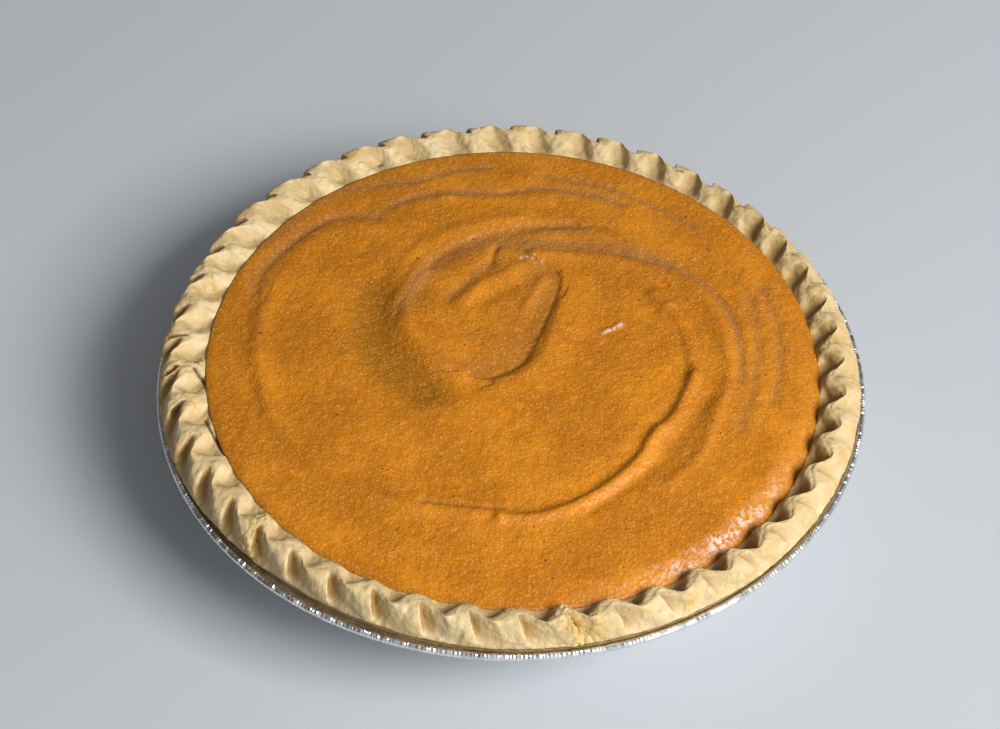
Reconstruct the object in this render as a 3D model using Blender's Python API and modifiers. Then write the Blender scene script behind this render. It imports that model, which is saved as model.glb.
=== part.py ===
"""An unbaked sweet potato pie in its round foil pan.

Three pieces share the Z axis and stand on Z = 0: the foil pan with its
rolled rim, the crimped pastry shell that lines it, and the filling, whose
smoothed top keeps the swirl that the spoon left. Lengths are metres, +Z is up,
and the viewer stands at -Y. Angles run anticlockwise from +X.
"""
import math

import bmesh
import bpy
import numpy as np

# General
MM = 0.001
GAP = 0.3 * MM                  # clear space between touching pieces
SEGMENTS = 92                   # sides of a plain turned surface

# Foil pan
PAN_RADIUS = 122 * MM           # outside of the rolled rim
RIM_HEIGHT = 35 * MM            # centre of the rolled rim above the table
BEAD_RADIUS = 1.3 * MM          # half the thickness of the rolled rim
BEAD_SIDES = 8
FOIL = 0.5 * MM                 # wall of the pan
FLOOR_RADIUS = 88 * MM          # flat part of the underside
CORNER_RADIUS = 4 * MM          # between floor and wall
WALL_START = -34.0              # the corner turns up to this angle, degrees
WALL_TOP_RADIUS = 112 * MM      # where the wall turns into the flat flange
FLANGE_DROP = 1.0 * MM          # underside of the flange below the rim centre
BEAD_START = 200.0              # the roll leaves the flange's top at this angle, degrees
BEAD_END = -120.0               # and turns under to this one

# Pastry shell
PASTRY = 3.4 * MM               # thickness on floor and wall
CRIMPS = 46
STEPS_PER_CRIMP = 6
EDGE_STEPS = CRIMPS * STEPS_PER_CRIMP
CRIMP_PHASE = math.radians(259.2)   # angle of one outward bend
CRIMP_DRIFT = math.radians(1.5)     # bends sit closer together on one side
DRIFT_ANGLE = math.radians(42)
CRIMP_SLANT = 5.0               # turn of a bend per metre of radius, in radians
CREST_RADIUS = 114.6 * MM       # middle line of the standing edge
CREST_HEIGHT = 46.2 * MM        # top of the standing edge above the table
CREST_HALF = 1.8 * MM           # half the thickness of the standing edge
HALF_CHANGE = 0.6 * MM          # it is thicker at the left and thinner at the right
THICK_ANGLE = math.radians(215)
CREST_OFFSET = 1.5 * MM         # the edge sits off centre, towards the back
OFFSET_ANGLE = math.radians(110)
CREST_OVAL = 1.2 * MM           # and is a little longer on one diagonal
OVAL_ANGLE = math.radians(-61)
CREST_TILT = 0.8 * MM           # the edge stands lower at the right
TILT_ANGLE = math.radians(-30)
BROW_BACK = 2.2 * MM            # inner face reaches further in at the right
BROW_ANGLE = math.radians(20)
BROW_SPREAD = math.radians(55)
SWELL = 0.6 * MM                # slow rise and fall of the edge
INNER_DEPTH = 2.3 * MM          # how far the inner face bends in and out
OUTER_DEPTH = 1.9 * MM          # how far the outer face bends in and out
DEPTH_CHANGE = 0.35             # bends are deeper at the left, shallower at the right
DEEP_ANGLE = math.radians(190)
OUTER_SKEW = 0.5                # outer dents are steep on one side, gentle on the other
INNER_SKEW = 0.35               # inner bends lean the same way
TOP_DROP = 1.0 * MM             # shoulder and brow lie this far below the top
TOP_SHIFT = 0.3 * MM            # the top lies nearer the filling than the middle line
FOOT_RADIUS = 118.8 * MM        # outer edge of the pastry on the flange
FOOT_DIP = 1.7 * MM             # it shrinks back from the rim at the front left
DIP_ANGLE = math.radians(237)
DIP_SPREAD = math.radians(20)
FOOT_RISE = 0.8 * MM            # edge of the foot above the rim's centre
FOOT_ROUND = 0.2 * MM
SKIRT_START = 2.4 * MM          # foot of the smooth band above the rim's centre
SKIRT_HEIGHT = 38.4 * MM        # middle of the smooth band under the crimps
SKIRT_OUT = 0.7 * MM            # it swells out over the foot
SKIRT_WAVE = 0.15               # share of the outer bends that the smooth band takes
FLANK_HEIGHT = 42.0 * MM
FLANK_SHARE = 0.55              # its place between the skirt and the shoulder
FLANK_WAVE = 0.9                # share of the outer bends that the flank takes
BROW_NOD = 0.4                  # the brow lies lower on the bulges by this share
SEAM_DROP = 0.4 * MM            # pastry meets the filling below its surface
SLOPE_SAG = 0.3 * MM            # hollow of the inner slope
SLOPE_RISE = 1.1 * MM           # its folds lie lower than its bulges

# Filling
FILL_RADIUS = 106 * MM
FILL_OVAL = 1.5 * MM            # it is a little longer on one diagonal
FILL_OVAL_ANGLE = math.radians(109)
FILL_OFFSET = 0.5 * MM          # and sits a little off centre, towards the front
FILL_OFFSET_ANGLE = math.radians(290)
FILL_EDGE_HEIGHT = 43 * MM
FILL_DOME = 1.6 * MM            # rise from edge to middle
FILL_WALL_HEIGHT = 37.5 * MM    # top of the straight side of the filling
FILL_FOOT_RADIUS = 89.6 * MM    # foot of the side, above the round corner
FILL_FOOT_RISE = 3.4 * MM
FILL_FLOOR_RADIUS = 85.6 * MM   # flat bottom inside the corner
LIP_ANGLE = math.radians(-40)   # the filling's edge rolls down here
LIP_SPREAD = math.radians(38)
LIP_DROP = 3.6 * MM
LIP_START = 0.92                # share of the radius where it starts to roll down
STROKE_END = 0.08               # strokes fade out over this share of the radius
FILL_CELLS = 42                 # cells across the top of the filling

# Swirl of the filling: height, half width and route, in millimetres
FOLD_LIP = (1.8, 3.6, [(-5, 55), (-29, 41), (-38, 25), (-35, 9), (-25, -5), (-13, -9)])
FOLD_CREASE = (-1.5, 3.4, [(-13, -13), (-1, -10), (8, 3), (15, 17), (18, 35), (13, 46), (3, 50)])
OUTER_ARC = (1.4, 3.4, [(-42, 39), (-39, 49), (-29, 61), (-17, 67)])
ARC_CREASE = (-1.3, 3.2, [(-35, 33), (-21, 54), (-5, 61), (11, 66), (27, 66), (45, 59)])
LEFT_HOLLOW = (-1.4, 8.0, [(-45, 28), (-46, 12), (-41, -4), (-30, -17)])
SPIRAL_RIDGE = (1.7, 5.0, [
    (3, 56), (19, 55), (35, 48), (51, 39), (63, 25), (72, 1), (67, -15), (55, -31),
    (31, -53), (15, -65), (-1, -70), (-31, -65), (-59, -49), (-81, -25), (-87, 5),
    (-85, 35), (-65, 61), (-53, 67)])
FRONT_LUMP = (1.1, 5.5, [(44, -38), (50, -33)])
RIGHT_LUMP = (1.0, 5.5, [(49, 31), (53, 27)])
SWIRL = [FOLD_LIP, FOLD_CREASE, OUTER_ARC, ARC_CREASE, LEFT_HOLLOW, SPIRAL_RIDGE, FRONT_LUMP, RIGHT_LUMP]


def clear_scene():
    for item in list(bpy.data.objects):
        bpy.data.objects.remove(item, do_unlink=True)


def new_collection(name):
    collection = bpy.data.collections.new(name)
    bpy.context.scene.collection.children.link(collection)
    return collection


def new_material(name, colour, roughness, metallic=0.0):
    material = bpy.data.materials.new(name)
    material.use_nodes = True
    shader = material.node_tree.nodes["Principled BSDF"]
    shader.inputs["Base Color"].default_value = (*colour, 1.0)
    shader.inputs["Roughness"].default_value = roughness
    shader.inputs["Metallic"].default_value = metallic
    return material


def add_object(name, mesh, collection, material, sharp_angle):
    piece = bpy.data.objects.new(name, mesh)
    collection.objects.link(piece)
    mesh.materials.append(material)
    mesh.shade_smooth()
    mesh.set_sharp_from_angle(angle=sharp_angle)
    return piece


def arc(centre, radius, start, end, steps):
    """Points of a round stretch of a turned profile, from start to end in degrees."""
    turns = [math.radians(start + (end - start) * i / steps) for i in range(steps + 1)]
    return [(centre[0] + radius * math.cos(t), centre[1] + radius * math.sin(t)) for t in turns]


# Foil pan


def pan_profile():
    """Half section of the pan: up the inside, round the bead, down the outside."""
    bead_centre = (PAN_RADIUS - BEAD_RADIUS, RIM_HEIGHT)
    under = RIM_HEIGHT - FLANGE_DROP
    corner = (FLOOR_RADIUS, CORNER_RADIUS)
    inside = [(0.0, FOIL)]
    inside += arc(corner, CORNER_RADIUS - FOIL, -90, WALL_START, 3)
    inside += [(WALL_TOP_RADIUS, under + FOIL)]
    bead = arc(bead_centre, BEAD_RADIUS, BEAD_START, BEAD_END, BEAD_SIDES)
    outside = [(PAN_RADIUS - 2 * BEAD_RADIUS, under), (WALL_TOP_RADIUS + FOIL, under)]
    outside += arc(corner, CORNER_RADIUS, WALL_START, -90, 3)
    outside += [(0.0, 0.0)]
    return inside + bead + outside


def make_pan(collection):
    mesh = bpy.data.meshes.new("foil_pan")
    outline = bmesh.new()
    verts = [outline.verts.new((radius, 0.0, height)) for radius, height in pan_profile()]
    for first, second in zip(verts, verts[1:]):
        outline.edges.new((first, second))
    outline.to_mesh(mesh)
    outline.free()
    foil = new_material("foil", (0.75, 0.76, 0.78), 0.3, 1.0)
    pan = add_object("foil_pan", mesh, collection, foil, math.radians(40))
    turn = pan.modifiers.new("turn", "SCREW")
    turn.axis = "Z"
    turn.angle = math.tau
    turn.steps = SEGMENTS
    turn.render_steps = SEGMENTS
    turn.use_merge_vertices = True
    turn.merge_threshold = 0.01 * MM
    turn.use_smooth_shade = True
    return pan


# Pastry shell


def bell(angle, centre, spread):
    """1 at one angle, falling smoothly to 0 on both sides."""
    away = (angle - centre + math.pi) % math.tau - math.pi
    return math.exp(-((away / spread) ** 2))


def fill_radius(angle):
    """Distance from the axis to the edge of the filling at an angle."""
    oval = FILL_OVAL * math.cos(2 * (angle - FILL_OVAL_ANGLE))
    return FILL_RADIUS + oval + FILL_OFFSET * math.cos(angle - FILL_OFFSET_ANGLE)


def lip_drop(angle):
    """How far the filling's edge rolls down at an angle."""
    return LIP_DROP * bell(angle, LIP_ANGLE, LIP_SPREAD)


def column_angle(step, steps, radius):
    """Angle of a column of points; columns lean with the crimps as the radius grows."""
    even = CRIMP_PHASE + math.tau * step / steps
    drift = CRIMP_DRIFT * math.cos(even - DRIFT_ANGLE)
    return even - drift + CRIMP_SLANT * (radius - CREST_RADIUS)


def outer_bend(turn):
    """Bend of the outer face: round outward, with a sharp fold inward."""
    skewed = turn - OUTER_SKEW * (1.0 + math.cos(turn))
    return 2.0 * abs(math.cos(skewed / 2.0)) - 1.0


def inner_bend(turn):
    """Bend of the inner face: round inward, with a sharp fold outward."""
    skewed = turn - INNER_SKEW * (1.0 - math.cos(turn))
    return 1.0 - 2.0 * abs(math.sin(skewed / 2.0))


def edge_swell(angle):
    """Slow unevenness of hand-pressed pastry, between -1 and 1."""
    return 0.5 * math.sin(3 * angle + 1.1) + 0.3 * math.sin(7 * angle + 4.0) + 0.2 * math.sin(13 * angle)


def crest_radius(angle):
    """Middle line of the standing edge, off centre and slightly oval."""
    offset = CREST_OFFSET * math.cos(angle - OFFSET_ANGLE)
    oval = CREST_OVAL * math.cos(2 * (angle - OVAL_ANGLE))
    return CREST_RADIUS + offset + oval + 0.5 * SWELL * edge_swell(angle + 1.0)


def crest_height(angle):
    return CREST_HEIGHT + SWELL * edge_swell(angle) - CREST_TILT * math.cos(angle - TILT_ANGLE)


def foot_radius(angle):
    """Outer edge of the pastry on the flange, drawn back from the rim at the front left."""
    return FOOT_RADIUS - FOOT_DIP * bell(angle, DIP_ANGLE, DIP_SPREAD)


def edge_column(step):
    """One column of the standing edge, from skirt over crest to the seam with the filling."""
    angle = column_angle(step, EDGE_STEPS, CREST_RADIUS)
    turn = CRIMPS * math.tau * step / EDGE_STEPS
    strength = 1.0 + DEPTH_CHANGE * math.cos(angle - DEEP_ANGLE)
    outward = OUTER_DEPTH * strength * outer_bend(turn)
    inward = INNER_DEPTH * strength * inner_bend(turn)
    fold = strength * inner_bend(turn)
    middle = crest_radius(angle)
    half = CREST_HALF + HALF_CHANGE * math.cos(angle - THICK_ANGLE)
    top = crest_height(angle)
    skirt = foot_radius(angle) + SKIRT_OUT
    shoulder = middle + half - 2 * TOP_SHIFT
    flank = FLANK_SHARE * shoulder + (1.0 - FLANK_SHARE) * skirt
    brow = middle - half - BROW_BACK * bell(angle, BROW_ANGLE, BROW_SPREAD)
    crest = 0.5 * (shoulder + brow)
    seam_angle = column_angle(step, EDGE_STEPS, FILL_RADIUS)
    seam = fill_radius(seam_angle) + GAP
    seam_height = FILL_EDGE_HEIGHT - lip_drop(seam_angle) - SEAM_DROP
    points = [
        (skirt + SKIRT_WAVE * outward, SKIRT_HEIGHT),
        (flank + FLANK_WAVE * outward, FLANK_HEIGHT),
        (shoulder + outward, top - TOP_DROP),
        (crest + 0.5 * (outward + inward), top),
        (brow + inward, top - TOP_DROP * (1.0 + BROW_NOD * fold)),
        (0.5 * (seam + brow + inward), 0.5 * (top + seam_height) - SLOPE_SAG - SLOPE_RISE * fold),
    ]
    column = [(r, column_angle(step, EDGE_STEPS, r), z) for r, z in points]
    column.append((seam, seam_angle, seam_height - SEAM_DROP * (1.0 + fold)))
    return [(r * math.cos(a), r * math.sin(a), z) for r, a, z in column]


def standing_edge():
    """Rings of the crimped edge, one for each point of its columns."""
    return [list(ring) for ring in zip(*[edge_column(step) for step in range(EDGE_STEPS)])]


def plain_ring(radius_at, height, lean_radius):
    """A smooth ring whose points keep in line with the crimps at one radius."""
    ring = []
    for step in range(SEGMENTS):
        angle = column_angle(step, SEGMENTS, lean_radius)
        radius = radius_at(angle)
        ring.append((radius * math.cos(angle), radius * math.sin(angle), height))
    return ring


def pastry_outside():
    """Rings from the middle of the shell's underside out to its foot on the flange."""
    floor = FOIL + GAP
    corner = arc((FLOOR_RADIUS, CORNER_RADIUS), CORNER_RADIUS - floor, -90, WALL_START, 2)
    sections = [(lambda _, r=radius: r, height) for radius, height in corner]
    flange = RIM_HEIGHT - FLANGE_DROP + FOIL + GAP
    sections.append((lambda _: WALL_TOP_RADIUS - GAP, flange))
    sections.append((foot_radius, flange))
    sections.append((lambda angle: foot_radius(angle) + FOOT_ROUND, RIM_HEIGHT + FOOT_RISE))
    sections.append((lambda angle: foot_radius(angle) + SKIRT_OUT, RIM_HEIGHT + SKIRT_START))
    return [plain_ring(radius_at, height, FOOT_RADIUS) for radius_at, height in sections]


def side_sections(gap):
    """Radius rules and heights of the filling's side, from top to floor, grown by a gap."""
    floor = FOIL + GAP + PASTRY
    return [
        (lambda angle: fill_radius(angle) + gap, FILL_WALL_HEIGHT),
        (lambda _: FILL_FOOT_RADIUS + gap, floor + FILL_FOOT_RISE),
        (lambda _: FILL_FLOOR_RADIUS + gap, floor + GAP - gap),
    ]


def pastry_inside():
    """Rings from the filling's edge down the inner wall to the inner floor."""
    return [plain_ring(radius_at, height, FILL_RADIUS) for radius_at, height in side_sections(GAP)]


def join_rings(work, lower, upper):
    """Faces between two rings; one may have a whole multiple of the other's points."""
    if len(lower) == len(upper):
        for i in range(len(lower)):
            j = (i + 1) % len(lower)
            work.faces.new((lower[i], lower[j], upper[j], upper[i]))
        return
    outward = len(lower) < len(upper)
    coarse, fine = (lower, upper) if outward else (upper, lower)
    ratio = len(fine) // len(coarse)
    middle = ratio // 2 + 1
    for i, here in enumerate(coarse):
        there = coarse[(i + 1) % len(coarse)]
        row = [fine[(i * ratio + k) % len(fine)] for k in range(ratio + 1)]
        corners = [(here, row[k + 1], row[k]) for k in range(middle)]
        corners.append((here, there, row[middle]))
        corners += [(there, row[k + 1], row[k]) for k in range(middle, ratio)]
        for face in corners:
            work.faces.new(face if outward else face[::-1])


def make_crust(collection):
    mesh = bpy.data.meshes.new("crust")
    work = bmesh.new()
    rings = pastry_outside() + standing_edge() + pastry_inside()
    levels = [[work.verts.new(point) for point in ring] for ring in rings]
    for lower, upper in zip(levels, levels[1:]):
        join_rings(work, lower, upper)
    work.faces.new(levels[0][::-1])
    work.faces.new(levels[-1])
    bmesh.ops.recalc_face_normals(work, faces=work.faces)
    work.to_mesh(mesh)
    work.free()
    pastry = new_material("raw_pastry", (0.66, 0.50, 0.27), 0.6)
    return add_object("crust", mesh, collection, pastry, math.radians(50))


# Filling


def smooth_route(points, steps=8):
    """A smooth curve through hand-placed points, as an array of places."""
    ends = [points[0]] + list(points) + [points[-1]]
    route = []
    for a, b, c, d in zip(ends, ends[1:], ends[2:], ends[3:]):
        for i in range(steps):
            t = i / steps
            weights = (-t + 2 * t ** 2 - t ** 3, 2 - 5 * t ** 2 + 3 * t ** 3,
                       t + 4 * t ** 2 - 3 * t ** 3, t ** 3 - t ** 2)
            route.append([0.5 * sum(w * p[axis] for w, p in zip(weights, (a, b, c, d))) for axis in (0, 1)])
    route.append(list(points[-1]))
    return np.array(route)


def stroke_height(places, stroke):
    """Height that one stroke of the spoon gives at each place, in metres."""
    height, half_width, points = stroke
    route = smooth_route(points) * MM
    start = route[:-1]
    run = route[1:] - start
    offset = places[:, None, :] - start[None, :, :]
    share = np.clip((offset * run).sum(2) / (run ** 2).sum(1), 0.0, 1.0)
    nearest = offset - share[:, :, None] * run[None, :, :]
    away = np.sqrt((nearest ** 2).sum(2)).min(1)
    return height * MM * np.exp(-((away / (half_width * MM)) ** 2))


def filling_heights(places):
    """Height of the filling's top above the table at each place."""
    angles = np.arctan2(places[:, 1], places[:, 0])
    edge = np.array([fill_radius(angle) for angle in angles])
    drop = np.array([lip_drop(angle) for angle in angles])
    share = np.hypot(places[:, 0], places[:, 1]) / edge
    fall = np.clip((share - LIP_START) / (1.0 - LIP_START), 0.0, 1.0) ** 2
    heights = FILL_EDGE_HEIGHT + FILL_DOME * (1.0 - share ** 3) - drop * fall
    for stroke in SWIRL:
        heights += stroke_height(places, stroke) * np.clip((1.0 - share) / STROKE_END, 0.0, 1.0)
    return heights


def square_to_disc(x, y):
    """Place of a unit square's point on the unit disc, as angle and share of the radius."""
    if x == 0.0 and y == 0.0:
        return 0.0, 0.0
    if abs(x) >= abs(y):
        turn = math.pi / 4 * y / x + (math.pi if x < 0 else 0.0)
        return turn, abs(x)
    turn = math.pi / 2 - math.pi / 4 * x / y + (math.pi if y < 0 else 0.0)
    return turn, abs(y)


def make_filling(collection):
    mesh = bpy.data.meshes.new("filling")
    work = bmesh.new()
    bmesh.ops.create_grid(work, x_segments=FILL_CELLS, y_segments=FILL_CELLS, size=1.0)
    for vert in work.verts:
        angle, share = square_to_disc(vert.co.x, vert.co.y)
        radius = share * fill_radius(angle)
        vert.co = (radius * math.cos(angle), radius * math.sin(angle), 0.0)
    places = np.array([vert.co[:2] for vert in work.verts])
    for vert, height in zip(work.verts, filling_heights(places)):
        vert.co.z = height
    for radius_at, height in side_sections(0.0):
        edge = [item for item in work.edges if item.is_boundary]
        grown = bmesh.ops.extrude_edge_only(work, edges=edge)
        for vert in [item for item in grown["geom"] if isinstance(item, bmesh.types.BMVert)]:
            angle = math.atan2(vert.co.y, vert.co.x)
            radius = radius_at(angle)
            vert.co = (radius * math.cos(angle), radius * math.sin(angle), height)
    bmesh.ops.holes_fill(work, edges=[item for item in work.edges if item.is_boundary])
    bmesh.ops.recalc_face_normals(work, faces=work.faces)
    work.to_mesh(mesh)
    work.free()
    puree = new_material("sweet_potato", (0.55, 0.20, 0.02), 0.4)
    return add_object("filling", mesh, collection, puree, math.radians(50))


def main():
    clear_scene()
    pie = new_collection("sweet_potato_pie")
    make_pan(pie)
    make_crust(pie)
    make_filling(pie)


main()
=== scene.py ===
# %% [markdown]
# # An unbaked sweet potato pie in its foil pan
# The pie has three pieces: a foil pan with a rolled rim, a shell of raw
# pastry whose standing edge is pinched into crimps, and a filling of orange
# puree with the swirl that the spoon left. The solids of the three come
# from the frame. They fix every size, and this lesson gives each one a
# finer surface and a finish.

# %% Load the frame
import math

import bmesh
import bpy
import numpy as np
from mathutils import Matrix, Vector, noise


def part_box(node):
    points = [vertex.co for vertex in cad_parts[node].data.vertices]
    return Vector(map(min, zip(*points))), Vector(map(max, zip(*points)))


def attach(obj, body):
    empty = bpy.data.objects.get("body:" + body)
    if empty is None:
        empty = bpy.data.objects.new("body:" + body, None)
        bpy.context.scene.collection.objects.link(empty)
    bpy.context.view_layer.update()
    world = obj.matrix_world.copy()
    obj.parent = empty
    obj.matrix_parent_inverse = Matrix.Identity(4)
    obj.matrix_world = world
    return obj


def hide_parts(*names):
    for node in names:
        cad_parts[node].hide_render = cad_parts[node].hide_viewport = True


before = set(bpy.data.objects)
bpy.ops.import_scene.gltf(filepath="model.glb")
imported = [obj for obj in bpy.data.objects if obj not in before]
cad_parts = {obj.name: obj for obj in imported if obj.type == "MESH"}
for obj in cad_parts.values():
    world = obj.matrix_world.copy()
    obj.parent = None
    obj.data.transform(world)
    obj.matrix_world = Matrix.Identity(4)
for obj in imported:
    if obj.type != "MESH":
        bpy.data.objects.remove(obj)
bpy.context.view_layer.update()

MM = 0.001

# %% [markdown]
# ## The camera
# The round rim shows as an ellipse, and its shape gives the direction, the
# distance and the focal length of the lens that saw it. The lens was read
# in pixels of a picture 1000 wide, so it is turned into millimetres for a
# sensor 36 mm wide. The three angles are kept apart, because a reader can
# then change one of them, which a ready matrix would not allow.

# %% Place the camera
PHOTO_WIDTH_PX = 1000
FOCAL_LENGTH_PX = 2200
SENSOR_WIDTH = 36.0
EYE = Vector((0.0, -523.5, 588.4)) * MM
EYE_TURN = math.radians(-0.43)
EYE_TILT = math.radians(46.38)
EYE_ROLL = math.radians(0.48)


def looking(turn, tilt, roll):
    """Rotation of a camera from its turn about Z, its tilt down and its roll."""
    level = math.cos(tilt)
    ahead = Vector((math.sin(turn) * level, math.cos(turn) * level, -math.sin(tilt)))
    right = Vector((math.cos(turn), -math.sin(turn), 0.0))
    up = right.cross(ahead)
    side = math.cos(roll) * right + math.sin(roll) * up
    top = math.cos(roll) * up - math.sin(roll) * right
    return Matrix((side, top, -ahead)).transposed().to_4x4()


camera = bpy.data.objects.new("camera", bpy.data.cameras.new("camera"))
bpy.context.scene.collection.objects.link(camera)
camera.data.sensor_width = SENSOR_WIDTH
camera.data.lens = SENSOR_WIDTH * FOCAL_LENGTH_PX / PHOTO_WIDTH_PX
camera.matrix_world = Matrix.Translation(EYE) @ looking(EYE_TURN, EYE_TILT, EYE_ROLL)
bpy.context.scene.camera = camera
print("lens", round(camera.data.lens, 1), "mm")

# %% [markdown]
# ## The floor and the light
# A pale plain floor stands in for a worktop. The light is that of one large
# window at the front right, about 40 degrees up, with a soft room around
# it. A big area light gives the soft shadow at the back left. The room is a
# world colour that is brighter on the window's side, so that the metal has
# something to reflect.

# %% Lay the floor
FLOOR_SIZE = 6.0
FLOOR_COLOUR = (0.50, 0.52, 0.54, 1.0)
FLOOR_ROUGHNESS = 0.6
FLOOR_GLOSS = 0.3

bpy.ops.mesh.primitive_plane_add(size=FLOOR_SIZE, location=(0.0, 0.0, 0.0))
floor = bpy.context.object
floor.name = "floor"
floor_finish = bpy.data.materials.new("floor")
floor_finish.use_nodes = True
floor_shader = floor_finish.node_tree.nodes["Principled BSDF"]
floor_shader.inputs["Base Color"].default_value = FLOOR_COLOUR
floor_shader.inputs["Roughness"].default_value = FLOOR_ROUGHNESS
floor_shader.inputs["Specular IOR Level"].default_value = FLOOR_GLOSS
floor.data.materials.append(floor_finish)
print("floor", FLOOR_SIZE, "m wide")

# %% Hang the window light
WINDOW_DISTANCE = 1.8
WINDOW_AZIMUTH = math.radians(-37)
WINDOW_HEIGHT = math.radians(40)
WINDOW_SIZE = (1.0, 0.75)
WINDOW_POWER = 43.0


def from_sky(azimuth, height, distance):
    """A place seen from the pie in a direction given by two angles."""
    level = math.cos(height) * distance
    return Vector((level * math.cos(azimuth), level * math.sin(azimuth), math.sin(height) * distance))


window = bpy.data.objects.new("window", bpy.data.lights.new("window", "AREA"))
window.data.shape = "RECTANGLE"
window.data.size, window.data.size_y = WINDOW_SIZE
window.data.energy = WINDOW_POWER
window.location = from_sky(WINDOW_AZIMUTH, WINDOW_HEIGHT, WINDOW_DISTANCE)
window.rotation_euler = (-window.location).to_track_quat("-Z", "Y").to_euler()
bpy.context.scene.collection.objects.link(window)
print("window at", [round(value, 2) for value in window.location])


# %% Add nodes and join their sockets
def add_node(tree, kind, inputs=None, **settings):
    """A new shader node with its own settings, and values for inputs by name or number."""
    node = tree.nodes.new("ShaderNode" + kind)
    for setting, value in settings.items():
        setattr(node, setting, value)
    for label, value in (inputs or {}).items():
        node.inputs[label].default_value = value
    return node


def wire(tree, *pairs):
    """Joins pairs of sockets, from the first of each to the second."""
    for source, target in pairs:
        tree.links.new(source, target)


# %% Light the room
ROOM_BRIGHT = (0.90, 0.95, 1.0, 1.0)
ROOM_DIM = (0.16, 0.145, 0.13, 1.0)
ROOM_STRENGTH = 0.55
ROOM_TOWARDS = Vector((0.65, -0.70, 0.30)).normalized()
ROOM_DIM_UP_TO = -0.35       # how far a direction points to the bright side, from -1 to 1

room = bpy.data.worlds.new("room")
bpy.context.scene.world = room
room.use_nodes = True
room_tree = room.node_tree
backdrop = room_tree.nodes["Background"]
backdrop.inputs["Strength"].default_value = ROOM_STRENGTH
where = add_node(room_tree, "TexCoord")
facing = add_node(room_tree, "VectorMath", {1: ROOM_TOWARDS}, operation="DOT_PRODUCT")
side_share = add_node(room_tree, "MapRange", {"From Min": ROOM_DIM_UP_TO}, interpolation_type="SMOOTHSTEP")
room_mix = add_node(room_tree, "Mix", data_type="RGBA")
room_mix.inputs["A"].default_value = ROOM_DIM
room_mix.inputs["B"].default_value = ROOM_BRIGHT
wire(
    room_tree,
    (where.outputs["Generated"], facing.inputs[0]),
    (facing.outputs["Value"], side_share.inputs["Value"]),
    (side_share.outputs["Result"], room_mix.inputs["Factor"]),
    (room_mix.outputs["Result"], backdrop.inputs["Color"]),
)
bpy.context.scene.view_settings.view_transform = "Standard"
print("room has", len(room_tree.nodes), "nodes")

# %% [markdown]
# ## Small helpers for meshes
# All three pieces are closed shells. Two of them are rings of points that
# share the Z axis, so one helper joins rings into quads. Another makes the
# object, gives it its finish and lets it ride on the only body. Writing the
# rings by formula keeps the columns of points in line with the crimps,
# which a plain cylinder with a displacement would cut across.

# %% Close a mesh and join rings into a shell
def closed_mesh(name, points, faces, smooth):
    """A mesh whose faces all look outward."""
    mesh = bpy.data.meshes.new(name)
    mesh.from_pydata(points.tolist(), [], faces)
    work = bmesh.new()
    work.from_mesh(mesh)
    bmesh.ops.recalc_face_normals(work, faces=work.faces)
    work.to_mesh(mesh)
    work.free()
    for polygon in mesh.polygons:
        polygon.use_smooth = smooth
    return mesh


def ring_mesh(name, rings, smooth):
    """A closed mesh from rings of points with equal counts, capped at both ends."""
    count = len(rings[0])
    points = np.concatenate([np.asarray(ring) for ring in rings])
    here = np.arange(count)
    there = (here + 1) % count
    faces = []
    for level in range(len(rings) - 1):
        low = level * count
        high = low + count
        quads = np.stack([low + here, low + there, high + there, high + here], axis=1)
        faces += quads.tolist()
    faces.append(list(range(count))[::-1])
    faces.append(list(range(len(points) - count, len(points))))
    return closed_mesh(name, points, faces, smooth)


# %% Put a finished piece in place of its solid
def place(mesh, node, finish):
    """Adds a piece that rides on the body and stands for one solid of the frame."""
    piece = bpy.data.objects.new(mesh.name, mesh)
    bpy.context.scene.collection.objects.link(piece)
    mesh.materials.append(finish)
    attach(piece, "root")
    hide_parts(node)
    print(mesh.name, len(mesh.vertices), "points", len(mesh.polygons), "faces")


# %% Soft steps, bells and lumps
SEED_STEP = (7.3, 1.9, 4.1)


def bell(away, spread):
    """1 at no distance, falling smoothly to 0."""
    return np.exp(-((away / spread) ** 2))


def bell_turn(angle, centre, spread):
    """The same for angles, which repeat after a full turn."""
    return bell((angle - centre + np.pi) % math.tau - np.pi, spread)


def smooth_step(value, low, high):
    """0 up to the low value, 1 from the high one on, and an even curve between."""
    share = np.clip((value - low) / (high - low), 0.0, 1.0)
    return share * share * (3.0 - 2.0 * share)


def lumps(points, size, seed):
    """Soft random heights between about -1 and 1 at places in space."""
    shift = Vector([seed * step for step in SEED_STEP])
    return np.array([noise.noise(Vector(point) / size + shift) for point in points])


# %% [markdown]
# ## Shared surface effects
# Two effects return in several finishes. Mottling is a slow, soft change of
# tone, as in dough or puree. Grain is fine and sharp, as flour, starch or
# drawn metal. Each is a node group with its own inputs, so every finish
# can set the size and the contrast that its real surface shows.

# %% Build the mottling group
def new_group(name, inputs, outputs):
    """An empty shader group with named number sockets."""
    group = bpy.data.node_groups.new(name, "ShaderNodeTree")
    for label, value in inputs.items():
        socket = group.interface.new_socket(label, in_out="INPUT", socket_type="NodeSocketFloat")
        socket.default_value = value
    for label in outputs:
        group.interface.new_socket(label, in_out="OUTPUT", socket_type="NodeSocketFloat")
    return group, group.nodes.new("NodeGroupInput"), group.nodes.new("NodeGroupOutput")


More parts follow.
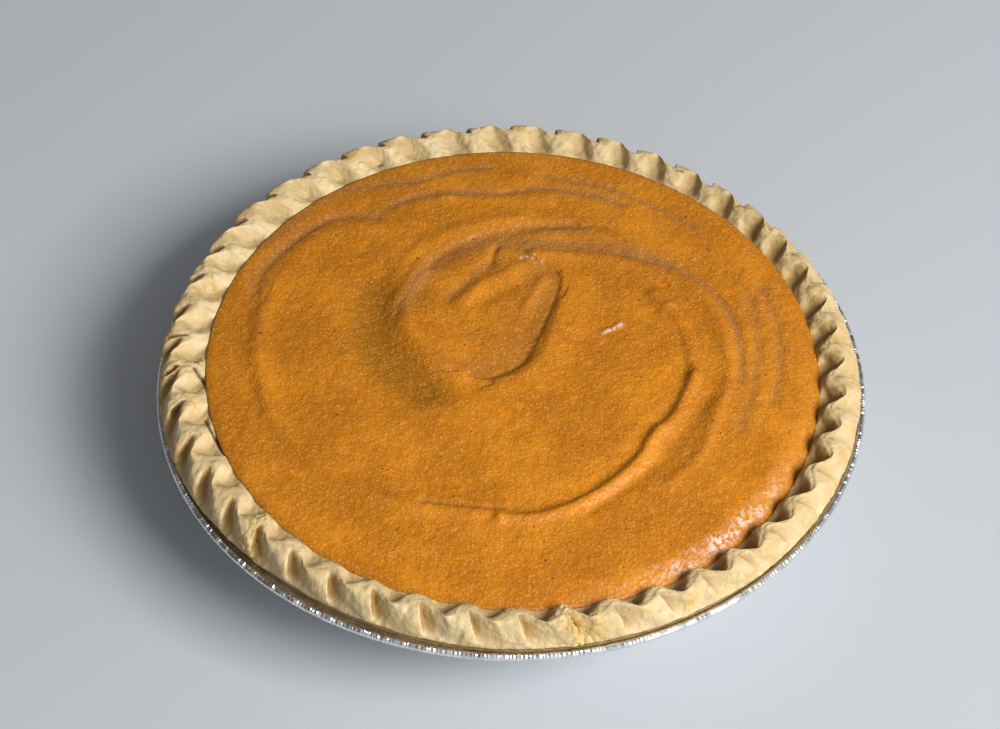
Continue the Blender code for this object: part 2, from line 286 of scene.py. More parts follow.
mottling, mottling_in, mottling_out = new_group(
    "mottling", {"Scale": 60.0, "Detail": 3.0, "Low": 0.4, "High": 0.6}, ["Mask"])
mottling_place = add_node(mottling, "TexCoord")
clouds = add_node(mottling, "TexNoise")
contrast = add_node(mottling, "MapRange", interpolation_type="SMOOTHSTEP")
wire(
    mottling,
    (mottling_place.outputs["Object"], clouds.inputs["Vector"]),
    (mottling_in.outputs["Scale"], clouds.inputs["Scale"]),
    (mottling_in.outputs["Detail"], clouds.inputs["Detail"]),
    (clouds.outputs["Fac"], contrast.inputs["Value"]),
    (mottling_in.outputs["Low"], contrast.inputs["From Min"]),
    (mottling_in.outputs["High"], contrast.inputs["From Max"]),
    (contrast.outputs["Result"], mottling_out.inputs["Mask"]),
)
print("group", mottling.name, "has", len(mottling.nodes), "nodes")

# %% Build the grain group
FUZZ_DETAIL = 4.0
FUZZ_SCALE = 0.7             # the fuzz is a little coarser than the cells
DOME_EDGE = 0.75             # distance from a cell's middle where its dome ends

grain, grain_in, grain_out = new_group(
    "grain", {"Scale": 900.0, "Roundness": 0.5, "Dot Size": 0.3, "Dot Share": 0.5}, ["Height", "Dots"])
grain_place = add_node(grain, "TexCoord")
cells = add_node(grain, "TexVoronoi")
fuzz = add_node(grain, "TexNoise", {"Detail": FUZZ_DETAIL})
coarser = add_node(grain, "Math", {1: FUZZ_SCALE}, operation="MULTIPLY")
dome = add_node(grain, "MapRange", {"From Min": DOME_EDGE, "From Max": 0.0})
joined = add_node(grain, "Mix")
round_dot = add_node(grain, "MapRange", {"From Max": 0.0}, interpolation_type="SMOOTHSTEP")
cell_draw = add_node(grain, "SeparateColor")
chosen = add_node(grain, "MapRange")
dots = add_node(grain, "Math", operation="MULTIPLY")
wire(
    grain,
    (grain_place.outputs["Object"], cells.inputs["Vector"]),
    (grain_in.outputs["Scale"], cells.inputs["Scale"]),
    (grain_place.outputs["Object"], fuzz.inputs["Vector"]),
    (grain_in.outputs["Scale"], coarser.inputs[0]),
    (coarser.outputs["Value"], fuzz.inputs["Scale"]),
    (cells.outputs["Distance"], dome.inputs["Value"]),
    (grain_in.outputs["Roundness"], joined.inputs["Factor"]),
    (fuzz.outputs["Fac"], joined.inputs["A"]),
    (dome.outputs["Result"], joined.inputs["B"]),
    (joined.outputs["Result"], grain_out.inputs["Height"]),
    (cells.outputs["Distance"], round_dot.inputs["Value"]),
    (grain_in.outputs["Dot Size"], round_dot.inputs["From Min"]),
    (cells.outputs["Color"], cell_draw.inputs["Color"]),
    (cell_draw.outputs["Red"], chosen.inputs["Value"]),
    (grain_in.outputs["Dot Share"], chosen.inputs["From Min"]),
    (round_dot.outputs["Result"], dots.inputs[0]),
    (chosen.outputs["Result"], dots.inputs[1]),
    (dots.outputs["Value"], grain_out.inputs["Dots"]),
)
print("group", grain.name, "has", len(grain.nodes), "nodes")


# %% Use the effects in a finish
def new_finish(name, roughness, metallic=0.0):
    """A material with its Principled shader, ready for colours and bumps."""
    finish = bpy.data.materials.new(name)
    finish.use_nodes = True
    shader = finish.node_tree.nodes["Principled BSDF"]
    shader.inputs["Roughness"].default_value = roughness
    shader.inputs["Metallic"].default_value = metallic
    return finish, finish.node_tree, shader


def mottled(tree, scale, detail, low, high):
    """Mask socket of the mottling with its own values."""
    values = {"Scale": scale, "Detail": detail, "Low": low, "High": high}
    return add_node(tree, "Group", values, node_tree=mottling).outputs["Mask"]


def grained(tree, scale, roundness, dot_size=0.3, dot_share=0.5):
    """Height and dot sockets of the grain with its own values."""
    values = {"Scale": scale, "Roundness": roundness, "Dot Size": dot_size, "Dot Share": dot_share}
    outputs = add_node(tree, "Group", values, node_tree=grain).outputs
    return outputs["Height"], outputs["Dots"]


def painted(tree, name):
    """Mask socket that reads a value stored on the mesh's points."""
    return add_node(tree, "Attribute", attribute_name=name).outputs["Fac"]


# %% Blend colours, roughness and bumps
def blend(tree, mask, under, over, strength=1.0):
    """Colour socket that goes from under to over where the mask is high."""
    mix = add_node(tree, "Mix", data_type="RGBA")
    scaled = add_node(tree, "Math", {1: strength}, operation="MULTIPLY")
    wire(tree, (mask, scaled.inputs[0]), (scaled.outputs["Value"], mix.inputs["Factor"]))
    for label, colour in (("A", under), ("B", over)):
        if isinstance(colour, tuple):
            mix.inputs[label].default_value = (*colour, 1.0)
        else:
            wire(tree, (colour, mix.inputs[label]))
    return mix.outputs["Result"]


def layered(tree, colour, layers):
    """Colour socket with layers of mask, colour and strength, each over the ones before."""
    for mask, over, strength in layers:
        colour = blend(tree, mask, colour, over, strength)
    return colour


def vary_roughness(tree, shader, mask, at_none, at_full):
    """Lets the roughness go from one value to another as the mask rises."""
    spread = add_node(tree, "MapRange", {"To Min": at_none, "To Max": at_full})
    wire(tree, (mask, spread.inputs["Value"]), (spread.outputs["Result"], shader.inputs["Roughness"]))


def add_bump(tree, height, strength, distance, under=None):
    """Normal socket of a bump, laid over another bump where one is given."""
    bump = add_node(tree, "Bump", {"Strength": strength, "Distance": distance})
    wire(tree, (height, bump.inputs["Height"]))
    if under is not None:
        wire(tree, (under, bump.inputs["Normal"]))
    return bump.outputs["Normal"]


# %% [markdown]
# ## The foil pan
# The pan is pressed from thin foil, and its edge is rolled into a bead with
# fine cross notches that sparkle. It could be a turned profile with a
# Screw modifier, but then every notch would be alike. Here the profile is
# turned by formula, so that each notch gets its own depth from a seeded
# draw, and the faces stay flat to glint one by one.

# %% Sizes of the pan, from its solid
pan_corner = Vector(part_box("foil_pan")[1])
PAN_RADIUS = pan_corner.x
FOIL = 0.5 * MM
BEAD_RADIUS = 1.3 * MM
BEAD_TURN = (200, -120)      # degrees; the bead starts inside and rolls over the top
RIM_HEIGHT = pan_corner.z - BEAD_RADIUS
FLANGE_DROP = 1.0 * MM
FLANGE_WIDTH = 4 * MM
MIDDLE_RADIUS = 20 * MM      # the flat middle of the underside is one face
FLOOR_RADIUS = 88 * MM
CORNER_RADIUS = 4 * MM
WALL_START = -34.0           # degrees; the corner turns up to this angle
WALL_TOP_RADIUS = 112 * MM
NOTCHES = 590                # fine notches around the rolled rim
COLUMNS_PER_NOTCH = 4
print("pan radius", round(PAN_RADIUS / MM, 2), "mm, rim height", round(RIM_HEIGHT / MM, 2), "mm")


# %% Draw the pan's profile
def arc(centre, radius, start, end, steps):
    """Points of a round stretch of a profile, from start to end in degrees."""
    turns = np.radians(np.linspace(start, end, steps + 1))
    return [(centre[0] + radius * math.cos(t), centre[1] + radius * math.sin(t)) for t in turns]


def wall(bottom, top, steps):
    """Points up a slanting wall, without its two ends."""
    shares = np.linspace(0.0, 1.0, steps + 1)[1:-1]
    return [(bottom[0] + s * (top[0] - bottom[0]), bottom[1] + s * (top[1] - bottom[1])) for s in shares]


def pan_profile():
    """Half section from the inside floor to the underside, with the kind of each point."""
    under = RIM_HEIGHT - FLANGE_DROP
    corner = (FLOOR_RADIUS, CORNER_RADIUS)
    inside = [(MIDDLE_RADIUS, FOIL)] + arc(corner, CORNER_RADIUS - FOIL, -90, WALL_START, steps=2)
    inside += [(WALL_TOP_RADIUS, under + FOIL), (WALL_TOP_RADIUS + FLANGE_WIDTH, under + FOIL)]
    bead = arc((PAN_RADIUS - BEAD_RADIUS, RIM_HEIGHT), BEAD_RADIUS, *BEAD_TURN, steps=13)
    flange_under = [(PAN_RADIUS - 2 * BEAD_RADIUS, under), (WALL_TOP_RADIUS + FOIL, under)]
    foot = arc(corner, CORNER_RADIUS, WALL_START, -90, steps=4) + [(MIDDLE_RADIUS, 0.0)]
    side = wall(flange_under[-1], foot[0], steps=9)
    stretches = [("plain", inside), ("bead", bead), ("plain", flange_under), ("side", side), ("plain", foot)]
    return [(point, kind) for kind, points in stretches for point in points]


# %% Press the notches and the creases
NOTCH_LEAST = 0.06
NOTCH_MOST = 0.40            # millimetres, on top of the least depth
NOTCH_LEAN = 0.4
LEAN_TURN = 2.4              # how fast a leaning notch fades in and out around the bead
NOTCH_SHIFT = 0.35           # share of the notches' spacing
NOTCH_FORM = np.array([0.0, 0.55, 1.0, 0.45])
CALM_ANGLE = math.radians(-48)
CALM_SPREAD = math.radians(40)
CALM_SHARE = 0.6             # the notches are shallower around this angle
CREASE_DEPTH = 0.10 * MM
FINE_CREASE_DEPTH = 0.05 * MM

notch_draw = np.random.default_rng(11)
notch_depth = (NOTCH_LEAST + NOTCH_MOST * notch_draw.uniform(0.0, 1.0, NOTCHES) ** 2) * MM
calm = bell_turn(math.tau * np.arange(NOTCHES) / NOTCHES, CALM_ANGLE, CALM_SPREAD)
notch_depth = notch_depth * (1.0 - CALM_SHARE * calm)
notch_lean = notch_draw.uniform(-NOTCH_LEAN, NOTCH_LEAN, NOTCHES)
notch_shift = notch_draw.uniform(-NOTCH_SHIFT, NOTCH_SHIFT, NOTCHES) * math.tau / NOTCHES
pan_columns = NOTCHES * COLUMNS_PER_NOTCH
column_shift = np.repeat(notch_shift, COLUMNS_PER_NOTCH)
column_shift = 0.5 * (np.roll(column_shift, 1) + np.roll(column_shift, -1))
pan_angles = math.tau * np.arange(pan_columns) / pan_columns + column_shift
notch_press = np.repeat(notch_depth, COLUMNS_PER_NOTCH) * np.tile(NOTCH_FORM, NOTCHES)
column_lean = np.repeat(notch_lean, COLUMNS_PER_NOTCH)
crease_wave = np.sin(61 * pan_angles + 2.0 * np.sin(5 * pan_angles))
crease_fine = np.sin(173 * pan_angles + 1.3 * np.sin(11 * pan_angles))
print("notch depth", round(notch_depth.mean() / MM, 3), "mm on average")


# %% Turn the pan's profile
def pan_ring(point, kind, level):
    """One ring of the pan, pressed in by the notches or the creases."""
    radius, height = point
    radii = np.full(pan_columns, radius)
    heights = np.full(pan_columns, height)
    if kind == "bead":
        press = notch_press * (1.0 + column_lean * math.sin(LEAN_TURN * level))
        away = np.array([radius - (PAN_RADIUS - BEAD_RADIUS), height - RIM_HEIGHT]) / BEAD_RADIUS
        radii -= press * away[0]
        heights -= press * away[1]
    if kind == "side":
        radii -= CREASE_DEPTH * (1.0 + crease_wave) + FINE_CREASE_DEPTH * (1.0 + crease_fine)
    return np.stack([radii * np.cos(pan_angles), radii * np.sin(pan_angles), heights], axis=1)


pan_rings = [pan_ring(point, kind, level) for level, (point, kind) in enumerate(pan_profile())]
pan_mesh = ring_mesh("foil_pan_fine", pan_rings, smooth=False)
print("pan rings", len(pan_rings))

# %% [markdown]
# ### The foil's finish
# Bare aluminium foil is a bright metal with soft streaks and tiny dents.
# A metallic shader with a fine bump does that without any picture. The
# roughness changes a little with the mottling, as pressed foil is polished
# where the tool rubbed it.

# %% Make the foil
FOIL_GREY = (0.74, 0.75, 0.77)
FOIL_BRIGHT = (0.90, 0.91, 0.92)
FOIL_ROUGHNESS = 0.28        # for a viewer that shows one roughness
FOIL_ROUGHNESS_GREY = 0.18
FOIL_ROUGHNESS_BRIGHT = 0.30

foil, foil_tree, foil_shader = new_finish("foil", FOIL_ROUGHNESS, metallic=1.0)
foil_tone = mottled(foil_tree, scale=180.0, detail=2.0, low=0.35, high=0.65)
foil_colour = blend(foil_tree, foil_tone, FOIL_GREY, FOIL_BRIGHT)
foil_height, _ = grained(foil_tree, scale=700.0, roundness=0.2)
foil_normal = add_bump(foil_tree, foil_height, strength=0.35, distance=0.1 * MM)
wire(
    foil_tree,
    (foil_colour, foil_shader.inputs["Base Color"]),
    (foil_normal, foil_shader.inputs["Normal"]),
)
vary_roughness(foil_tree, foil_shader, foil_tone, FOIL_ROUGHNESS_GREY, FOIL_ROUGHNESS_BRIGHT)
place(pan_mesh, "foil_pan", foil)

# %% [markdown]
# ## The pastry shell
# Raw pastry lines the pan and stands up past its rim, where thumb and
# finger pinched it into 46 slanting bends. Seen from above, the edge is a
# ribbon that winds in and out: on the outside the inward bends leave
# hollows with a steep and a gentle side, and on the inside the outward
# bends leave narrow grooves. Sculpting it by hand would be free but never
# the same twice. Here each column of points is computed from a handful of
# measures, and small seeded changes make no two crimps alike.

# %% Measures of the crimped edge, seen from above
CRIMPS = 46
STEPS_PER_CRIMP = 32
EDGE_STEPS = CRIMPS * STEPS_PER_CRIMP
GAP = 0.3 * MM
CRIMP_PHASE = math.radians(259.2)
CRIMP_DRIFT = math.radians(1.5)
DRIFT_ANGLE = math.radians(42)
CRIMP_SLANT = 5.0
CREST_RADIUS = 114.6 * MM
CREST_HALF = 1.8 * MM
HALF_CHANGE = 0.6 * MM
THICK_ANGLE = math.radians(215)
CREST_OFFSET = 1.5 * MM
OFFSET_ANGLE = math.radians(110)
CREST_OVAL = 1.2 * MM
OVAL_ANGLE = math.radians(-61)
SWELL = 0.6 * MM
SWELL_SHIFT = 1.0
INNER_DEPTH = 2.5 * MM
OUTER_DEPTH = 2.2 * MM
DEPTH_CHANGE = 0.12
DEEP_ANGLE = math.radians(190)
OUTER_ROLL = 0.7 * MM        # folds roll over sideways, so that one side of a hollow is steep
INNER_ROLL = 0.5 * MM
print("crimp spacing", round(math.tau * CREST_RADIUS / CRIMPS / MM, 1), "mm")

# %% Measures of its section
CREST_HEIGHT = 46.2 * MM
CREST_TILT = 0.8 * MM
TILT_ANGLE = math.radians(-30)
CREST_OUTER_SHARE = 0.35     # the top follows the outer bends by this share, else the inner ones
SHOULDER_IN = 0.6 * MM
SHOULDER_DROP = 1.3 * MM
BROW_DROP = 1.0 * MM
ROUNDING = 0.5 * MM          # an outward bend is this much lower at its two edges
BROW_BACK = 2.2 * MM
BROW_ANGLE = math.radians(20)
BROW_SPREAD = math.radians(55)
DEEP_HEIGHT = 41.6 * MM      # height where the outer hollows are deepest
SHALLOW_HEIGHT = 38.6 * MM   # and where they end
SHALLOW_SHARE = 0.08
FLANK_SHARE = 0.55
PIT_DEPTH = 1.3 * MM         # between the crest and the filling
PIT_DIP = 0.7 * MM
PIT_RISE = 0.55
SEAM_DROP = 0.4 * MM
SEAM_RISE = 0.1 * MM
SEAM_WAVE = 0.4 * MM
PASTRY = 3.4 * MM
print("crest height", round(CREST_HEIGHT / MM, 1), "mm")

# %% Measures of its foot, over the foil's flange
FOOT_RADIUS = 118.8 * MM
FOOT_DIP = 1.7 * MM
DIP_ANGLE = math.radians(237)
DIP_SPREAD = math.radians(20)
FOOT_FLARE = 0.2 * MM
FOOT_RISE = 0.8 * MM
SKIRT_OUT = 0.7 * MM
SKIRT_RISE = 2.2 * MM
OVERHANG = 1.1 * MM          # the pastry leans out over the foil on this side
OVERHANG_ANGLE = math.radians(180)
OVERHANG_SPREAD = math.radians(32)
print("foot radius", round(FOOT_RADIUS / MM, 1), "mm")

# %% Measures of the filling's edge, which the pastry meets
FILL_RADIUS = 106 * MM
FILL_OVAL = 1.5 * MM
FILL_OVAL_ANGLE = math.radians(109)
FILL_OFFSET = 0.5 * MM
FILL_OFFSET_ANGLE = math.radians(290)
FILL_EDGE_HEIGHT = 43 * MM
FILL_DOME = 1.6 * MM
FILL_WALL_HEIGHT = 37.5 * MM
FILL_FOOT_RADIUS = 89.6 * MM
FILL_FOOT_RISE = 3.4 * MM
FILL_FLOOR_RADIUS = 85.6 * MM
LIP_ANGLE = math.radians(-40)
LIP_SPREAD = math.radians(38)
LIP_DROP = 3.6 * MM
LIP_START = 0.92


def fill_radius(angle):
    """Distance from the axis to the filling's edge; a little oval and off centre."""
    oval = FILL_OVAL * np.cos(2 * (angle - FILL_OVAL_ANGLE))
    return FILL_RADIUS + oval + FILL_OFFSET * np.cos(angle - FILL_OFFSET_ANGLE)


def lip_drop(angle):
    """How far the filling's edge rolls down at an angle."""
    return LIP_DROP * bell_turn(angle, LIP_ANGLE, LIP_SPREAD)


print("filling's edge at the front", round(float(fill_radius(-math.pi / 2)) / MM, 1), "mm from the axis")

# %% Bends of the ribbon
# Marks: share of one crimp after the steep wall, then the bend, outward positive
WALL_SHARE = 0.44
OUTER_BEND = [(0.00, 0.5), (0.04, -0.3), (0.08, -1.0), (0.18, -0.9), (0.30, -0.3),
              (0.42, 0.35), (0.54, 0.8), (0.70, 1.0), (0.88, 0.95), (0.96, 0.75)]
INNER_BEND = [(0.00, -0.8), (0.12, -1.0), (0.24, -0.9), (0.34, -0.1), (0.42, 0.9), (0.47, 1.0),
              (0.58, 0.75), (0.74, 0.1), (0.88, -0.5)]
PIT_BEND = [(0.05, -1.0), (0.32, -0.9), (0.42, 0.2), (0.48, 1.0), (0.70, 0.85), (0.85, 0.0), (0.97, -0.8)]
SOFTENINGS = 3

after_wall = np.arange(EDGE_STEPS) / STEPS_PER_CRIMP - WALL_SHARE


def bent(marks):
    """A bend that repeats with the crimps, softened over a few columns."""
    shares, values = zip(*marks)
    bend = np.interp(after_wall % 1.0, shares, values, period=1.0)
    for _ in range(SOFTENINGS):
        bend = 0.25 * np.roll(bend, 1) + 0.5 * bend + 0.25 * np.roll(bend, -1)
    return bend


outer_bend = bent(OUTER_BEND)
inner_bend = bent(INNER_BEND)
pit_bend = bent(PIT_BEND)
print("bends from", round(float(outer_bend.min()), 2), "to", round(float(outer_bend.max()), 2))

# %% Lean the columns and make no two crimps alike
ANGLE_CHANGE = 0.5           # degrees
OUTER_CHANGE = (0.8, 1.15)
INNER_CHANGE = (0.85, 1.12)
TOP_CHANGE = 0.25            # millimetres

crimp_draw = np.random.default_rng(4)


def per_crimp(low, high):
    """One random value for each crimp, eased from one crimp to the next."""
    values = crimp_draw.uniform(low, high, CRIMPS)
    place_in = np.arange(EDGE_STEPS) / STEPS_PER_CRIMP
    here = np.floor(place_in).astype(int)
    share = smooth_step(place_in - here, 0.0, 1.0)
    return values[here % CRIMPS] * (1.0 - share) + values[(here + 1) % CRIMPS] * share


def edge_swell(angle):
    """Slow unevenness of hand-pressed pastry, between -1 and 1."""
    return 0.5 * np.sin(3 * angle + 1.1) + 0.3 * np.sin(7 * angle + 4.0) + 0.2 * np.sin(13 * angle)


def column_angle(radius):
    """Angle of every column at a radius; columns lean with the crimps."""
    drift = CRIMP_DRIFT * np.cos(even_angle - DRIFT_ANGLE)
    return even_angle - drift + CRIMP_SLANT * (radius - CREST_RADIUS)


even_angle = CRIMP_PHASE + math.tau * np.arange(EDGE_STEPS) / EDGE_STEPS
even_angle = even_angle + np.radians(per_crimp(-ANGLE_CHANGE, ANGLE_CHANGE))
edge_angle = column_angle(CREST_RADIUS)
print("columns", EDGE_STEPS)

# %% Run the lines that the section hangs on
strength = 1.0 + DEPTH_CHANGE * np.cos(edge_angle - DEEP_ANGLE)
outward = OUTER_DEPTH * strength * outer_bend * per_crimp(*OUTER_CHANGE)
fold = inner_bend * per_crimp(*INNER_CHANGE)
inward = INNER_DEPTH * fold
middle = CREST_RADIUS + CREST_OFFSET * np.cos(edge_angle - OFFSET_ANGLE)
middle += CREST_OVAL * np.cos(2 * (edge_angle - OVAL_ANGLE))
middle += 0.5 * SWELL * edge_swell(edge_angle + SWELL_SHIFT)
half = CREST_HALF + HALF_CHANGE * np.cos(edge_angle - THICK_ANGLE)
top = CREST_HEIGHT + SWELL * edge_swell(edge_angle) - CREST_TILT * np.cos(edge_angle - TILT_ANGLE)
top = top + per_crimp(-TOP_CHANGE, TOP_CHANGE) * MM
foot = FOOT_RADIUS - FOOT_DIP * bell_turn(edge_angle, DIP_ANGLE, DIP_SPREAD)
skirt = foot + SKIRT_OUT + OVERHANG * bell_turn(edge_angle, OVERHANG_ANGLE, OVERHANG_SPREAD)
shoulder = middle + half - SHOULDER_IN
flank = FLANK_SHARE * shoulder + (1.0 - FLANK_SHARE) * skirt
brow = middle - half - BROW_BACK * bell_turn(edge_angle, BROW_ANGLE, BROW_SPREAD)
seam_angle = column_angle(FILL_RADIUS)
seam = fill_radius(seam_angle) + GAP
seam_height = FILL_EDGE_HEIGHT - lip_drop(seam_angle) - SEAM_DROP
flange = RIM_HEIGHT - FLANGE_DROP + FOIL + GAP
print("crest from", round(top.min() / MM, 1), "to", round(top.max() / MM, 1), "mm")

# %% Stations up the outside, over the crest and down to the filling
level = np.ones(EDGE_STEPS)
no_lean = np.zeros(EDGE_STEPS)
roll_out = OUTER_ROLL * outer_bend
roll_in = -INNER_ROLL * inner_bend
crest_radius = 0.5 * (shoulder + brow) + CREST_OUTER_SHARE * outward + (1.0 - CREST_OUTER_SHARE) * inward
bulge = 0.5 * (1.0 - pit_bend)
pit_radius = 0.5 * (seam + brow) + PIT_DEPTH * pit_bend
pit_height = seam_height - PIT_DIP + bulge * (PIT_DIP + PIT_RISE * (top - seam_height))
stations = [                 # radius, height and sideways lean
    (foot, flange * level, no_lean),
    (foot + FOOT_FLARE, (RIM_HEIGHT + FOOT_RISE) * level, no_lean),
    (skirt, (RIM_HEIGHT + SKIRT_RISE) * level, no_lean),
    (skirt + SHALLOW_SHARE * outward, SHALLOW_HEIGHT * level, 0.3 * roll_out),
    (flank + outward, DEEP_HEIGHT * level, roll_out),
    (shoulder + outward, top - SHOULDER_DROP - ROUNDING * outer_bend, roll_out),
    (crest_radius, top, 0.3 * roll_out + 0.7 * roll_in),
    (brow + inward, top - BROW_DROP - ROUNDING * fold, roll_in),
    (pit_radius, pit_height, 0.5 * roll_in),
    (seam, seam_height + SEAM_RISE - SEAM_WAVE * pit_bend, no_lean),
]
print("stations", len(stations))

# %% Round the section with a smooth curve through the stations
ROWS_BETWEEN = 6


def smooth_rows(values, steps):
    """Rows of a smooth curve through a list of stations, each an array of columns."""
    padded = [values[0]] + list(values) + [values[-1]]
    rows = []
    for a, b, c, d in zip(padded, padded[1:], padded[2:], padded[3:]):
        for i in range(steps):
            t = i / steps
            wa = -t + 2 * t ** 2 - t ** 3
            wb = 2 - 5 * t ** 2 + 3 * t ** 3
            wc = t + 4 * t ** 2 - 3 * t ** 3
            wd = t ** 3 - t ** 2
            rows.append(0.5 * (wa * a + wb * b + wc * c + wd * d))
    rows.append(values[-1])
    return np.array(rows)


edge_radii, edge_heights, edge_leans = (smooth_rows(list(values), ROWS_BETWEEN) for values in zip(*stations))
edge_turns = column_angle(edge_radii) + edge_leans / CREST_RADIUS
edge_x = edge_radii * np.cos(edge_turns)
edge_y = edge_radii * np.sin(edge_turns)
edge_places = np.stack([edge_x, edge_y, edge_heights], axis=2)
row_share = np.linspace(0.0, 1.0, len(edge_radii))[:, None]
print("edge rows", len(edge_radii))

# %% [markdown]
# ### Marks that are drawn one by one
# Some marks have one place only: a split, a crack, a stroke of the spoon. A
# mark is a short route with a width. The helper gives, for every point of a
# mesh, how close it lies to the route and on which side. The same helper
# serves the cracks of the pastry and the swirl of the filling.

# %% Measure closeness to a drawn route
FAR_AWAY = 1.0               # metres; no point lies this far from a route


def smooth_route(points, steps=8):
    """A smooth curve through given points."""
    return smooth_rows([np.array(point, dtype=float) for point in points], steps)


def near_route(spots, route, left, right):
    """1 on a route, falling to 0 over its own width on each side."""
    nearest = np.full(len(spots), FAR_AWAY)
    side = np.zeros(len(spots))
    for start, end in zip(route, route[1:]):
        run = end - start
        offset = spots - start
        share = np.clip(offset @ run / (run @ run), 0.0, 1.0)
        gap = offset - share[:, None] * run
        away = np.hypot(gap[:, 0], gap[:, 1])
        closer = away < nearest
        nearest = np.where(closer, away, nearest)
        turned = run[0] * offset[:, 1] - run[1] * offset[:, 0]
        side = np.where(closer, turned, side)
    return bell(nearest, np.where(side > 0.0, left, right))


# %% [markdown]
# ### Uneven dough
# Raw pastry is soft: it has low lumps from the fingers, fine wrinkles where
# it was folded, and a few places where it tore. The lumps come from smooth
# noise read at the real place of each point, so that they do not repeat.
# The torn crimps get a second, rougher noise, and each crack is cut in
# along its own route.

# %% Choose the torn crimps and the cracks
# Torn crimps: angle and half width in degrees, then roughness
TORN = [(225.0, 2.2, 0.8), (280.0, 3.0, 1.0), (185.2, 1.6, 0.7), (121.0, 2.5, 0.5), (4.0, 2.5, 0.4)]
# Cracks: tint, depth and width in millimetres, then angles in degrees and radii in millimetres
CRACKS = [
    ("dark", 1.1, 0.75, [(185.0, 108.1), (186.5, 106.0), (188.7, 103.6)]),
    ("dark", 0.5, 0.4, [(181.4, 107.1), (182.9, 107.9), (183.5, 107.0)]),
    ("dark", 0.9, 0.7, [(196.8, 106.8), (198.9, 106.2), (202.7, 105.2), (206.2, 104.6)]),
    ("dark", 0.9, 0.8, [(185.8, 118.0), (185.6, 116.3), (184.6, 113.6)]),
    ("dark", 0.8, 0.6, [(177.9, 118.4), (177.7, 114.5), (177.4, 112.2)]),
    ("dark", 0.8, 0.6, [(194.3, 116.9), (193.8, 114.7), (193.2, 112.8)]),
    ("yellow", 0.5, 0.5, [(192.2, 111.3), (193.2, 109.9), (194.7, 108.3)]),
    ("yellow", 0.5, 0.5, [(162.0, 112.0), (164.0, 109.5), (166.0, 107.2)]),
    ("yellow", 0.4, 0.6, [(8.0, 117.5), (10.5, 117.8)]),
    ("yellow", 0.4, 0.6, [(297.0, 118.4), (299.0, 118.2)]),
    ("dark", 0.5, 0.4, [(41.2, 113.0), (42.6, 112.2)]),
    ("dark", 0.5, 0.4, [(56.2, 113.4), (57.6, 112.7)]),
    ("dark", 0.5, 0.4, [(116.4, 111.4), (117.6, 112.2)]),
]

torn = np.zeros(EDGE_STEPS)
for centre, spread, amount in TORN:
    torn += amount * bell_turn(edge_angle, math.radians(centre), math.radians(spread))
print("torn crimps", len(TORN), "cracks", len(CRACKS))


# %% Lumps from the fingers
# Bands of rows, as shares of the way from the foot to the filling: where each rises and falls
FREE_ROWS = ((0.10, 0.30), (0.93, 1.0))
RAGGED_ROWS = ((0.02, 0.10), (0.20, 0.26))


def band(rise, fall):
    """Mask of a band of rows around the edge."""
    return smooth_step(row_share, *rise) * (1.0 - smooth_step(row_share, *fall))


def edge_lumps(size, seed):
    """Soft random heights on the pastry's edge, for lumps of one size in millimetres."""
    return lumps(edge_places.reshape(-1, 3), size * MM, seed).reshape(edge_radii.shape)


big_lumps = edge_lumps(7, seed=1)
small_lumps = edge_lumps(2.2, seed=2)
rags = edge_lumps(1.1, seed=3)
free = band(*FREE_ROWS)
ragged = band(*RAGGED_ROWS)
push = free * (0.45 * big_lumps + 0.28 * small_lumps + 0.09 * rags + 0.8 * torn * rags)
push = push - ragged * (0.25 + 0.45 * np.clip(small_lumps, -0.5, 1.0))
print("lumps up to", round(float(np.abs(push).max()), 2), "mm")

# %% Cut the cracks and the line between the folded layers
FROM_ABOVE_ROWS = (0.36, 0.44)
CRACK_EDGE = (0.25, 0.8)
LAYER_ROW = 0.70             # share of the rows where the folded dough shows its two layers
LAYER_WIDTH = 0.02
LAYER_WAVE = 0.01
LAYER_DEPTH = 0.4
LAYER_ANGLE = math.radians(-35)
LAYER_SPREAD = math.radians(50)

from_above = smooth_step(row_share, *FROM_ABOVE_ROWS)
cracks = {"dark": np.zeros(edge_radii.shape), "yellow": np.zeros(edge_radii.shape)}
for tint, depth, width, route in CRACKS:
    turns = [math.radians(angle) for angle, _ in route]
    corners = [(r * math.cos(t) * MM, r * math.sin(t) * MM) for t, (_, r) in zip(turns, route)]
    cut = near_route(edge_places.reshape(-1, 3)[:, :2], smooth_route(corners, 4), width * MM, width * MM)
    cut = cut.reshape(edge_radii.shape) * from_above
    push = push - depth * cut
    cracks[tint] = np.maximum(cracks[tint], smooth_step(cut, *CRACK_EDGE))
layer_side = 0.3 + 0.7 * bell_turn(edge_angle, LAYER_ANGLE, LAYER_SPREAD)
layer_line = bell(row_share - LAYER_ROW - LAYER_WAVE * small_lumps, LAYER_WIDTH) * layer_side
push = push - LAYER_DEPTH * layer_line
print("largest push", round(float(np.abs(push).max()), 2), "mm")

# %% Push the surface along its normals, under the solid's top
CRUST_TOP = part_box("crust")[1][2]
SOFT_LIMIT = 1.0 * MM        # the highest lumps are eased down over this height
NO_LENGTH = 1e-12

edge_slope = np.gradient(edge_places, axis=0)
edge_along = np.roll(edge_places, -1, axis=1) - np.roll(edge_places, 1, axis=1)
edge_normal = np.cross(edge_along, edge_slope)
edge_normal /= np.linalg.norm(edge_normal, axis=2, keepdims=True) + NO_LENGTH
edge_places = edge_places + edge_normal * push[:, :, None] * MM
over = np.maximum(edge_places[:, :, 2] - (CRUST_TOP - SOFT_LIMIT), 0.0)
edge_places[:, :, 2] += SOFT_LIMIT * np.tanh(over / SOFT_LIMIT) - over
print("highest point", round(edge_places[:, :, 2].max() / MM, 2), "mm of", round(CRUST_TOP / MM, 2))


